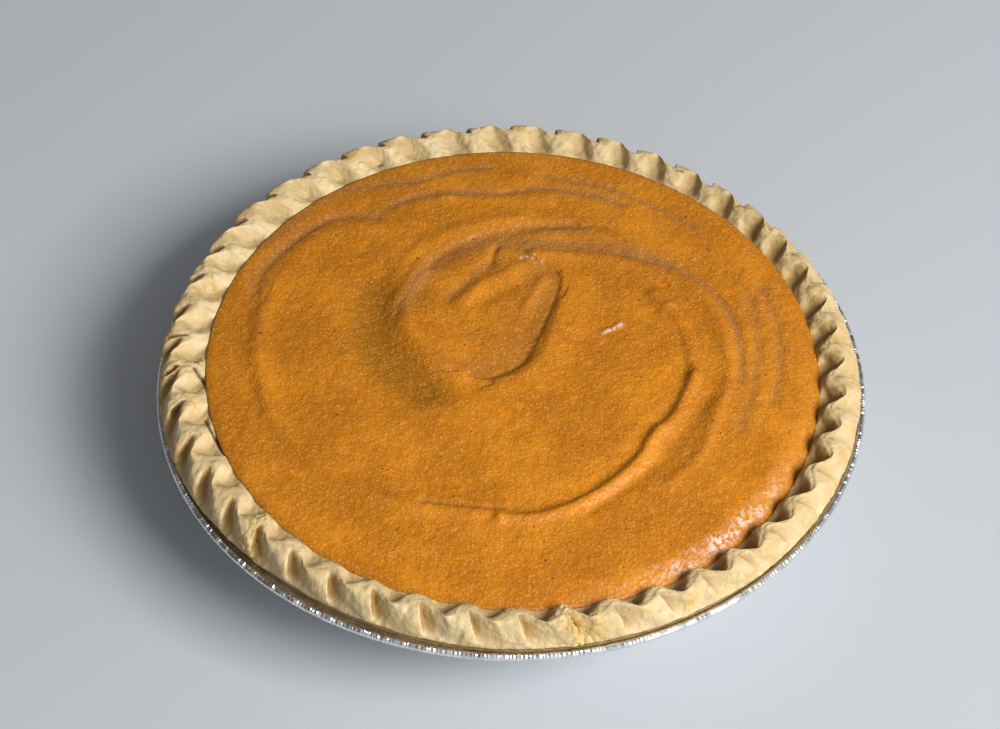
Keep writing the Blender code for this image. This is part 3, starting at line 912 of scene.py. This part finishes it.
# %% The hidden rings under the edge and inside the shell
def plain_ring(radius, height, lean_radius):
    """A level ring whose columns keep the lean that they have at another radius."""
    angles = column_angle(lean_radius)
    radii = radius(angles) if callable(radius) else np.full(EDGE_STEPS, radius)
    return np.stack([radii * np.cos(angles), radii * np.sin(angles), np.full(EDGE_STEPS, height)], axis=1)


floor_height = FOIL + GAP
shell_corner = arc((FLOOR_RADIUS, CORNER_RADIUS), CORNER_RADIUS - floor_height, -90, WALL_START, steps=3)
outer_rings = [plain_ring(radius, height, FOOT_RADIUS) for radius, height in shell_corner]
outer_rings.append(plain_ring(WALL_TOP_RADIUS - GAP, flange, FOOT_RADIUS))
inner_floor = floor_height + PASTRY
inner_rings = [
    plain_ring(lambda angles: fill_radius(angles) + GAP, FILL_WALL_HEIGHT, FILL_RADIUS),
    plain_ring(FILL_FOOT_RADIUS + GAP, inner_floor + FILL_FOOT_RISE, FILL_RADIUS),
    plain_ring(FILL_FLOOR_RADIUS + GAP, inner_floor, FILL_RADIUS),
]
crust_rings = outer_rings + list(edge_places) + inner_rings
crust_mesh = ring_mesh("crust_fine", crust_rings, smooth=True)
print("crust rings", len(crust_rings))

# %% Choose where the dough gets painted shade and where it is toasted
OUTER_ROWS = ((0.35, 0.43), (0.57, 0.64))
FLANK_ROWS = ((0.18, 0.24), (0.44, 0.56))
INNER_ROWS = (0.70, 0.78)
BELOW_ROWS = (0.17, 0.22)
CREST_ROW = 0.65
CREST_WIDTH = 0.09
CREVICE_PLACE = 0.09         # share of a crimp after the steep wall
CREVICE_WIDTH = 0.08
# Sides where the painted shade is stronger: the left side turned from the light, the dents at the front left
# and the inner face on the right
LEFT = (math.radians(190), math.radians(45))
FRONT_LEFT = (math.radians(222), math.radians(50))
RIGHT = (math.radians(-5), math.radians(62))
TOASTED_ANGLE = 1.6

dent = smooth_step(-outer_bend, -0.3, 0.9) * strength
groove = smooth_step(pit_bend, -0.2, 0.9)
outer_band = band(*OUTER_ROWS)
flank_band = band(*FLANK_ROWS)
inner_band = smooth_step(row_share, *INNER_ROWS)
under_edge = 1.0 - smooth_step(row_share + 0.03 * small_lumps, *BELOW_ROWS)
crest_band = bell(row_share - CREST_ROW, CREST_WIDTH)
crevice = outer_band * bell(after_wall % 1.0 - CREVICE_PLACE, CREVICE_WIDTH)
left_side = bell_turn(edge_angle, *LEFT)
front_left = 0.3 + 0.6 * bell_turn(edge_angle, *FRONT_LEFT)
right_side = bell_turn(edge_angle, *RIGHT)
print("crevices cover", round(float((crevice > 0.5).mean()), 3), "of the edge")


# %% Store where the dough gets painted shade, where it is toasted or yellowed, and where it cracked
def store(mesh, name, values, start=0):
    """Saves one value for each point from a start on; the other points keep 0."""
    flat = np.zeros(len(mesh.vertices), dtype=np.float32)
    flat[start:start + values.size] = np.clip(values.reshape(-1), 0.0, 1.0)
    mesh.attributes.new(name, "FLOAT", "POINT").data.foreach_set("value", flat)


# Painted shade: in the outer dents, most at the front left; in the inner grooves and on the inner face at the
# right; in the crevices, under the edge, on the left flank and a little low on the right
painted_shade = outer_band * dent * front_left + inner_band * groove * (0.45 + 0.4 * right_side)
painted_shade = painted_shade + 0.45 * inner_band * right_side + 0.7 * crevice + 0.75 * under_edge
painted_shade = painted_shade + 0.65 * left_side * flank_band + 0.2 * right_side * free
toasted = crest_band * smooth_step(big_lumps, 0.0, 0.5) * (0.35 + 0.4 * np.cos(edge_angle - TOASTED_ANGLE))
toasted = toasted + 0.5 * outer_band * smooth_step(big_lumps, 0.05, 0.5) + 0.6 * layer_line
yellowed = free * torn[None, :] * smooth_step(rags, -0.1, 0.4) + cracks["yellow"]
# Dark cracks, with more painted shade in the crevices and under the edge
cracks_and_shade = cracks["dark"] + 0.15 * crevice + 0.35 * under_edge
first_edge = len(outer_rings) * EDGE_STEPS
store(crust_mesh, "painted_shade", painted_shade, first_edge)
store(crust_mesh, "toasted", toasted, first_edge)
store(crust_mesh, "yellowed", yellowed, first_edge)
store(crust_mesh, "cracks_and_shade", cracks_and_shade, first_edge)
print("browned share", round(float((painted_shade > 0.4).mean()), 3))

# %% [markdown]
# ### The pastry's finish
# Raw dough is matte and creamy, with buttery yellow patches. The slow
# patches come from the mottling group. The values stored on the points give
# the toasted and yellowed dough, the cracks, and painted shade in the
# hollows, the crevices, under the edge and on the sides turned from the
# light, so the colour stays with the shape.

# %% Make the raw pastry
DOUGH = (0.58, 0.43, 0.205)
PALE_DOUGH = (0.64, 0.49, 0.265)
FLECK = (0.72, 0.60, 0.38)
BLUSH = (0.62, 0.37, 0.15)
TOASTED = (0.54, 0.31, 0.10)
SHADE_BROWN = (0.34, 0.19, 0.05)
YELLOWED = (0.60, 0.36, 0.06)
CRACK_AND_SHADE_DARK = (0.10, 0.045, 0.010)
DOUGH_ROUGHNESS = 0.6
DOUGH_GLOSS = 0.35

pastry, pastry_tree, pastry_shader = new_finish("raw_pastry", DOUGH_ROUGHNESS)
pastry_shader.inputs["Specular IOR Level"].default_value = DOUGH_GLOSS
pastry_patches = mottled(pastry_tree, scale=90.0, detail=4.0, low=0.38, high=0.66)
pastry_tone = layered(pastry_tree, blend(pastry_tree, pastry_patches, DOUGH, PALE_DOUGH), [
    (mottled(pastry_tree, scale=420.0, detail=5.0, low=0.50, high=0.70), FLECK, 0.5),
    (mottled(pastry_tree, scale=150.0, detail=3.0, low=0.56, high=0.74), BLUSH, 0.5),
    (painted(pastry_tree, "toasted"), TOASTED, 0.8),
    # painted shade in the hollows, the crevices, under the edge and on the sides turned from the light
    (painted(pastry_tree, "painted_shade"), SHADE_BROWN, 0.85),
    (painted(pastry_tree, "yellowed"), YELLOWED, 0.9),
    # dark cracks, with painted shade in the crevices and under the edge
    (painted(pastry_tree, "cracks_and_shade"), CRACK_AND_SHADE_DARK, 0.95),
])
pastry_wrinkles = mottled(pastry_tree, scale=260.0, detail=6.0, low=0.3, high=0.7)
pastry_flour, _ = grained(pastry_tree, scale=800.0, roundness=0.3)
pastry_normal = add_bump(pastry_tree, pastry_wrinkles, strength=0.8, distance=0.5 * MM)
pastry_normal = add_bump(pastry_tree, pastry_flour, 0.35, 0.12 * MM, under=pastry_normal)
wire(
    pastry_tree,
    (pastry_tone, pastry_shader.inputs["Base Color"]),
    (pastry_normal, pastry_shader.inputs["Normal"]),
)
place(crust_mesh, "crust", pastry)

# %% [markdown]
# ## The filling
# The puree is nearly level, but the spoon left a fold like a teardrop in
# the middle and one long ridge that winds around it almost to the crust.
# Each mark is a stroke: a route drawn with few points, a height and
# two widths, one for each side, because a spoon pushes up a steep side and
# a gentle one. Adding strokes over a low dome gives the relief, and it
# stays easy to move one mark without touching the others.

# %% Lay out a disc with even cells
FILL_CELLS = 306
GAP_FILLED = 0.8             # the soft puree fills this share of the clear gap at its edge


def disc_places(cells):
    """Square grid bent onto a disc, as angle and share of the radius."""
    steps = np.linspace(-1.0, 1.0, cells + 1)
    x, y = np.meshgrid(steps, steps, indexing="xy")
    wide = np.abs(x) >= np.abs(y)
    share = np.where(wide, np.abs(x), np.abs(y))
    safe_x = np.where(x == 0.0, 1.0, x)
    safe_y = np.where(y == 0.0, 1.0, y)
    across = math.pi / 4 * y / safe_x + np.where(x < 0, math.pi, 0.0)
    along = math.pi / 2 - math.pi / 4 * x / safe_y + np.where(y < 0, math.pi, 0.0)
    return np.where(wide, across, along), share


fill_turn, fill_share = (values.ravel() for values in disc_places(FILL_CELLS))
fill_reach = fill_radius(fill_turn) + GAP_FILLED * GAP
fill_x = fill_share * fill_reach * np.cos(fill_turn)
fill_y = fill_share * fill_reach * np.sin(fill_turn)
places = np.stack([fill_x, fill_y], axis=1)
print("filling points", len(places), "cell", round(2 * FILL_RADIUS / FILL_CELLS / MM, 2), "mm")

# %% Draw the spoon's strokes
# Height, width on the left of the route, width on its right, then the route, in millimetres
STROKES = {
    "fold rim": (2.4, 2.6, 4.0, [(-32, 40), (-38, 27), (-38, 20), (-37, 13), (-31, 3), (-26, -4), (-17, -9)]),
    "left hollow": (-2.4, 8.0, 6.0, [(-48, 30), (-49, 12), (-43, -4), (-30, -18)]),
    "outer groove": (-1.6, 1.8, 4.2, [
        (-40, 22), (-37, 29), (-33, 38), (-26, 49), (-11, 59), (7, 65), (22, 66)]),
    "outer ridge": (0.9, 3.2, 2.0, [(-43, 34), (-38, 46), (-31, 55), (-19, 63), (-7, 68), (3, 70)]),
    "drop groove": (-1.6, 8.0, 1.1, [(-14, -10), (-6, -10), (3, -4), (8, 7), (14, 26), (16, 39), (11, 45)]),
    "drop bank": (1.4, 1.8, 6.0, [(-4, -14), (6, -8), (13, 6), (18, 26)]),
    "short crease": (-1.3, 1.1, 1.1, [(-6, 54), (-8, 46)]),
    "inner groove": (-1.0, 2.6, 2.2, [(-22, 28), (-14, 38), (-7, 45)]),
    "inner ridge": (1.0, 1.9, 2.6, [(-18, 25), (-12, 33), (-1, 41), (7, 47)]),
    "low groove": (-0.7, 1.8, 2.4, [(-12, 25), (-3, 31), (4, 36)]),
    "right ridge": (0.9, 1.6, 1.6, [(4, 22), (8, 31), (11, 38)]),
    "back arc": (0.8, 1.6, 2.6, [(9, 62), (26, 63), (37, 60), (45, 53)]),
    "back arc groove": (-0.45, 2.8, 2.4, [(-4, 55), (11, 55), (22, 55), (33, 54), (45, 51), (55, 46)]),
    "spiral ridge": (1.2, 2.0, 2.2, [
        (7, 50), (26, 49), (39, 47), (51, 42), (62, 35), (70, 23), (74, 6), (74, -12), (69, -26),
        (65, -39), (61, -47), (52, -57)]),
    "spiral groove": (-0.7, 1.3, 1.5, [(39, 51), (52, 47), (66, 38), (75, 25), (79, 8), (78, -10)]),
    "right rim": (0.9, 2.6, 1.3, [(55, 24), (60, 12), (62, -3), (62, -11)]),
    "main ridge": (1.9, 2.3, 1.5, [
        (62, -9), (55, -27), (48, -36), (43, -46), (36, -55), (27, -63), (19, -68), (9, -72), (-3, -73)]),
    "main groove": (-0.6, 2.0, 2.8, [
        (59, -3), (57, -18), (51, -29), (44, -38), (39, -46), (32, -53), (23, -61), (15, -66), (2, -69)]),
    "outer band": (-0.9, 2.2, 2.2, [(66, -18), (61, -29), (51, -45), (40, -57), (27, -68)]),
    "pale ridge": (1.5, 2.3, 3.0, [
        (-3, -71), (-26, -69), (-39, -66), (-55, -58), (-69, -45), (-79, -32), (-86, -9), (-88, 5),
        (-87, 22)]),
    "thin crease": (-0.9, 1.0, 1.0, [(-28, -66), (-14, -68), (-3, -69)]),
    "back left groove": (-1.2, 2.6, 1.6, [(-91, 30), (-89, 41), (-81, 54), (-71, 65), (-60, 70), (-50, 69)]),
    "back left bank": (0.8, 2.0, 6.0, [(-84, 34), (-76, 52), (-66, 61), (-54, 64)]),
    "edge streak": (-0.6, 1.8, 1.8, [
        (-88, 57), (-78, 70), (-66, 83), (-47, 88), (-36, 90), (-25, 95), (-10, 98)]),
    "back streak": (-0.7, 1.7, 1.7, [(-46, 75), (-35, 81), (-26, 83), (-3, 83), (8, 86), (22, 85), (40, 78)]),
    "far streak": (-0.5, 1.5, 1.5, [(12, 93), (32, 88), (50, 78), (66, 66)]),
    "right streak": (-0.5, 1.6, 1.6, [(88, 36), (92, 18), (92, -2), (88, -20)]),
    "middle streak": (-0.5, 1.8, 1.8, [(84, 30), (85, 10), (82, -14), (76, -32)]),
    "lump": (1.6, 2.2, 2.2, [(50, 30), (54, 25)]),
    "lump shade": (-1.0, 1.6, 1.6, [(46, 29), (50, 23)]),
    "front lump": (1.0, 2.4, 2.4, [(46, -38), (49, -34)]),
    "scratch": (0.8, 0.9, 0.9, [(32, 11), (38, 15)]),
    "left peak": (1.1, 2.4, 2.4, [(-26, 80), (-24, 80)]),
    "back peak": (1.0, 2.6, 2.6, [(1, 92), (5, 92)]),
    "right peak": (1.1, 3.0, 3.0, [(7, 80), (12, 80)]),
}
# Strokes where the skin has dried and turned dull, with how dull it is
DULL_STROKES = {
    "outer groove": 0.9, "back arc groove": 0.95, "spiral groove": 0.85, "back left groove": 0.9,
    "edge streak": 1.0, "back streak": 1.1, "far streak": 0.8, "right streak": 0.5,
    "middle streak": 0.5, "thin crease": 0.5, "drop groove": 0.4, "inner groove": 0.5,
}
# Spots where the skin is wet, with lower roughness and a painted highlight: strength and half width, then the
# route, in millimetres
WET_HIGHLIGHT_STROKES = [
    (0.9, 0.7, [(31.5, 10.5), (35, 12.5), (38.5, 15)]),
    (0.9, 0.8, [(3, 48.2), (7, 48.6)]),
]
print("strokes", len(STROKES), "of them dull", len(DULL_STROKES), "and wet spots", len(WET_HIGHLIGHT_STROKES))

# %% Add up the strokes
STROKE_HEIGHT = 0.72         # the puree sank and softened after the spoon left it
STROKE_WIDTH = 1.2

relief = np.zeros(len(places))
dullness = np.zeros(len(places))
closeness = {}
for name, (height, left, right, points) in STROKES.items():
    wide = STROKE_WIDTH * MM
    closeness[name] = near_route(places, smooth_route(points) * MM, left * wide, right * wide)
    relief += STROKE_HEIGHT * height * MM * closeness[name]
    dullness += DULL_STROKES.get(name, 0.0) * closeness[name]
print("relief from", round(relief.min() / MM, 2), "to", round(relief.max() / MM, 2), "mm")

# %% Raise the surface
EDGE_FADE = 0.08
# Lumps of the puree: height and size in millimetres, then the seed
PUREE_LUMPS = [(0.20, 9.0, 5), (0.12, 3.5, 6), (0.06, 1.8, 7)]

spots = np.column_stack([places, np.zeros(len(places))])
edge_fade = np.clip((1.0 - fill_share) / EDGE_FADE, 0.0, 1.0)
roll = np.clip((fill_share - LIP_START) / (1.0 - LIP_START), 0.0, 1.0) ** 2
heights = FILL_EDGE_HEIGHT + FILL_DOME * (1.0 - fill_share ** 3) - lip_drop(fill_turn) * roll
heights += relief * edge_fade
heights += sum(height * lumps(spots, size * MM, seed) for height, size, seed in PUREE_LUMPS) * MM * edge_fade
print("surface from", round(heights.min() / MM, 1), "to", round(heights.max() / MM, 1), "mm")

# %% Close the filling with its side and floor
size = FILL_CELLS + 1
index = np.arange(size * size).reshape(size, size)
top_faces = np.stack([index[:-1, :-1], index[:-1, 1:], index[1:, 1:], index[1:, :-1]], axis=2).reshape(-1, 4)
rim = np.concatenate([index[0, :-1], index[:-1, -1], index[-1, :0:-1], index[:0:-1, 0]])
rim_turn = np.arctan2(places[rim, 1], places[rim, 0])
side_rings = [
    (fill_radius(rim_turn), FILL_WALL_HEIGHT),
    (np.full(len(rim), FILL_FOOT_RADIUS), inner_floor + FILL_FOOT_RISE),
    (np.full(len(rim), FILL_FLOOR_RADIUS), inner_floor + GAP),
]
fill_points = [np.column_stack([places, heights])]
fill_faces = top_faces.tolist()
above = rim
for radii, height in side_rings:
    first = sum(len(block) for block in fill_points)
    ring = np.column_stack([radii * np.cos(rim_turn), radii * np.sin(rim_turn), np.full(len(rim), height)])
    fill_points.append(ring)
    below = first + np.arange(len(rim))
    quads = np.stack([above, np.roll(above, -1), np.roll(below, -1), below], axis=1)
    fill_faces += quads[:, ::-1].tolist()
    above = below
fill_faces.append(above[::-1].tolist())
fill_mesh = closed_mesh("filling_fine", np.concatenate(fill_points), fill_faces, smooth=True)
print("filling faces", len(fill_faces))

# %% Store where the skin is dull and where shade is painted
DEEP_ENOUGH = 1.6 * MM       # a hollow this deep is fully dark
EDGE_SHADE_ROWS = (0.965, 1.0)
EDGE_SHADE_SPREAD = 1.0
# Painted shade that grows slowly towards the back left, away from the window
BACK_LEFT = np.array([-0.55, 0.85])
BACK_LEFT_SHARES = (-0.6, 0.9)

skin_waves = 0.5 + 0.5 * lumps(spots, 14 * MM, 8)
left_shade = 0.4 + 0.6 * bell_turn(fill_turn, math.pi, EDGE_SHADE_SPREAD)
edge_shade = smooth_step(fill_share, *EDGE_SHADE_ROWS) * left_shade
low_places = np.clip(-relief / DEEP_ENOUGH, 0.0, 1.0)
back_left = smooth_step(places @ BACK_LEFT / FILL_RADIUS, *BACK_LEFT_SHARES)
# Painted shade: the left hollow, the edge (more on the left), the low places of the strokes and the back left
hollow_shade = 0.85 * closeness["left hollow"] + 0.9 * edge_shade + 0.45 * low_places + 0.14 * back_left
store(fill_mesh, "dull", dullness * (0.55 + 0.6 * skin_waves))
store(fill_mesh, "hollow_shade", hollow_shade)
print("dark share", round(float((hollow_shade > 0.4).mean()), 3))

# %% Store where the skin is wet and gets a painted highlight
WET_HIGHLIGHT_ANGLE = math.radians(-49)
WET_HIGHLIGHT_SPREAD = math.radians(15)
WET_HIGHLIGHT_FROM = (0.925, 0.955)
WET_HIGHLIGHT_TO = (0.975, 0.995)
PATCH_EDGE = 0.25

wet_highlight_patches = smooth_step(lumps(spots, 4 * MM, 9), -PATCH_EDGE, PATCH_EDGE)
wet_lip_highlight = bell_turn(fill_turn, WET_HIGHLIGHT_ANGLE, WET_HIGHLIGHT_SPREAD) * smooth_step(fill_share, *WET_HIGHLIGHT_FROM)
wet_and_highlight = wet_lip_highlight * (0.25 + 0.75 * wet_highlight_patches) * (1.0 - smooth_step(fill_share, *WET_HIGHLIGHT_TO))
for amount, width, route in WET_HIGHLIGHT_STROKES:
    wet_and_highlight = np.maximum(wet_and_highlight, amount * near_route(places, smooth_route(route) * MM, width * MM, width * MM))
store(fill_mesh, "wet_and_highlight", wet_and_highlight)
print("wet share", round(float((wet_and_highlight > 0.4).mean()), 4))

# %% [markdown]
# ### The puree's finish
# Sweet potato puree is a deep orange with olive and brown clouds, brighter
# orange crumbs, a few dark specks and a fine wet grain that catches the
# light. Masks of different sizes give the clouds, crumbs and specks, and pale
# dots give the grain with painted glints on it; a bump at the grain's own
# size gives the sparkle. The values stored on the points make the dried
# streaks dull, paint shade into the hollows, along the edge and towards the
# back left, and give the lip at the front right and two small spots a wet
# gloss with a painted highlight.

# %% Make the puree's colour
DEEP_ORANGE = (0.465, 0.147, 0.003)
ORANGE = (0.62, 0.211, 0.006)
OLIVE = (0.44, 0.150, 0.006)
CRUMB = (0.76, 0.22, 0.002)
DULL = (0.30, 0.135, 0.050)
HOLLOW_SHADE = (0.29, 0.105, 0.002)
PALE_GRAIN_AND_GLINT = (0.84, 0.45, 0.13)
PALE_DUST_AND_GLINT = (0.80, 0.43, 0.12)
SPECK = (0.12, 0.03, 0.005)
PAINTED_HIGHLIGHT = (0.90, 0.72, 0.61)
PUREE_ROUGHNESS = 0.42
WET_ROUGHNESS = 0.24
PUREE_GLOSS = 0.34

puree, puree_tree, puree_shader = new_finish("sweet_potato", PUREE_ROUGHNESS)
puree_shader.inputs["Specular IOR Level"].default_value = PUREE_GLOSS
puree_clouds = mottled(puree_tree, scale=40.0, detail=5.0, low=0.36, high=0.66)
puree_height, puree_grain_glints = grained(puree_tree, scale=880.0, roundness=0.6, dot_size=0.55, dot_share=0.1)
_, puree_dust_glints = grained(puree_tree, scale=1500.0, roundness=0.6, dot_size=0.6, dot_share=0.2)
highlight_specks = mottled(puree_tree, scale=700.0, detail=2.0, low=0.40, high=0.62)
# The painted highlight: a pale colour where the wet mask meets fine specks; the same mask lowers the
# roughness
sparkle = add_node(puree_tree, "Math", operation="MULTIPLY")
wire(puree_tree, (painted(puree_tree, "wet_and_highlight"), sparkle.inputs[0]), (highlight_specks, sparkle.inputs[1]))
puree_colour = layered(puree_tree, blend(puree_tree, puree_clouds, DEEP_ORANGE, ORANGE), [
    (mottled(puree_tree, scale=130.0, detail=4.0, low=0.42, high=0.68), OLIVE, 0.5),
    (mottled(puree_tree, scale=210.0, detail=2.0, low=0.61, high=0.70), CRUMB, 0.6),
    (painted(puree_tree, "dull"), DULL, 0.75),
    # painted shade
    (painted(puree_tree, "hollow_shade"), HOLLOW_SHADE, 0.8),
    # pale grain dots, painted partly as glints of the wet grain
    (puree_grain_glints, PALE_GRAIN_AND_GLINT, 0.55),
    (puree_dust_glints, PALE_DUST_AND_GLINT, 0.35),
    (mottled(puree_tree, scale=420.0, detail=1.0, low=0.755, high=0.775), SPECK, 0.75),
    # painted highlight on the wet lip and spots
    (sparkle.outputs["Value"], PAINTED_HIGHLIGHT, 0.7),
])
print("puree has", len(puree_tree.nodes), "nodes so far")

# %% Add the puree's gloss and bumps
puree_pores = mottled(puree_tree, scale=350.0, detail=5.0, low=0.25, high=0.75)
puree_normal = add_bump(puree_tree, puree_pores, strength=0.5, distance=0.4 * MM)
puree_normal = add_bump(puree_tree, puree_height, 0.7, 0.3 * MM, under=puree_normal)
wire(
    puree_tree,
    (puree_colour, puree_shader.inputs["Base Color"]),
    (puree_normal, puree_shader.inputs["Normal"]),
)
vary_roughness(puree_tree, puree_shader, sparkle.outputs["Value"], PUREE_ROUGHNESS, WET_ROUGHNESS)
place(fill_mesh, "filling", puree)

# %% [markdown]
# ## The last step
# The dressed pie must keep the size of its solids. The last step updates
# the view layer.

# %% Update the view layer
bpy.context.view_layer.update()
